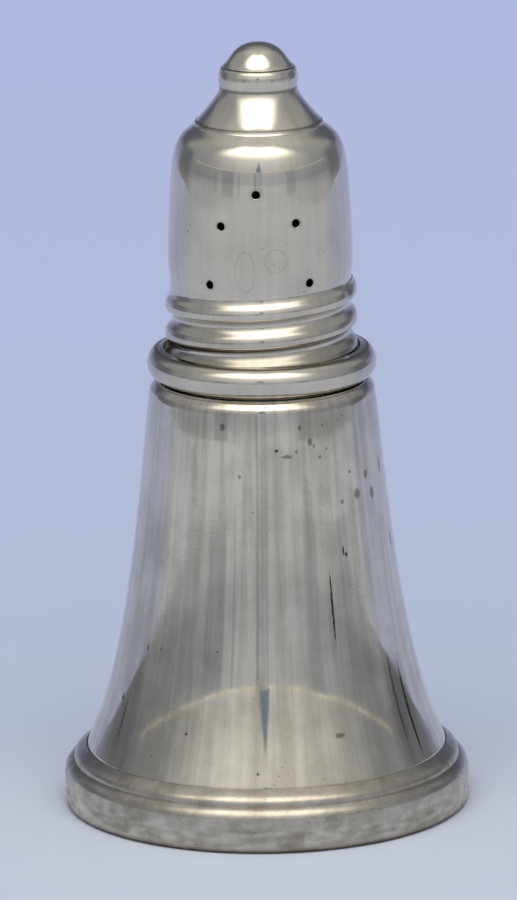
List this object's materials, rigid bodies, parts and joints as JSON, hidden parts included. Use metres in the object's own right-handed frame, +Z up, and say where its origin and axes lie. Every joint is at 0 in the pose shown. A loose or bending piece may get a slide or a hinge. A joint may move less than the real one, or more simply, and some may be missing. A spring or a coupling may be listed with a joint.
{
  "type": "salt shaker",
  "caption": "Round table salt shaker: flared weighted body on a stepped foot ring, collar ring, glass liner inside and a domed pierced cap that screws off.",
  "frame": {"origin": "centre of the circle that the shaker stands on, on the table", "axes": "+Z up along the shaker's axis, -Y towards the front, where the pour holes are, +X to the right seen from the front"},
  "size_m": [0.06, 0.06, 0.1144],
  "materials": {
    "spun_metal": "spun pewter, softly polished, with age streaks",
    "cast_metal": "cast and turned pewter, pitted, tarnished in the grooves",
    "plate": "dull tinned sheet",
    "felt": "pressed wool felt",
    "filler": "set plaster and pitch",
    "glass": "clear pressed glass"
  },
  "bodies": {
    "base": {"foot_ring": "cast_metal", "base_disc": "plate", "felt_pad": "felt", "body_shell": "spun_metal", "weight_fill": "filler", "collar_ring": "cast_metal", "glass_liner": "glass"},
    "cap_carrier": {"finial": "cast_metal"},
    "cap": {"cap_shell": "spun_metal"}
  },
  "joints": [
    {"name": "cap_lift", "type": "slide", "parent": "base", "child": "cap_carrier", "axis": [0, 0, 1], "range_m": [0, 0.00956]},
    {"name": "cap_turn", "type": "hinge", "parent": "cap_carrier", "child": "cap", "pos_m": [0, 0, 0.09], "axis": [0, 0, 1], "range_deg": [0, 810]}
  ],
  "couplings": [
    {"joint": "cap_turn", "follows": "cap_lift", "rad_per_m": 1478.4}
  ]
}
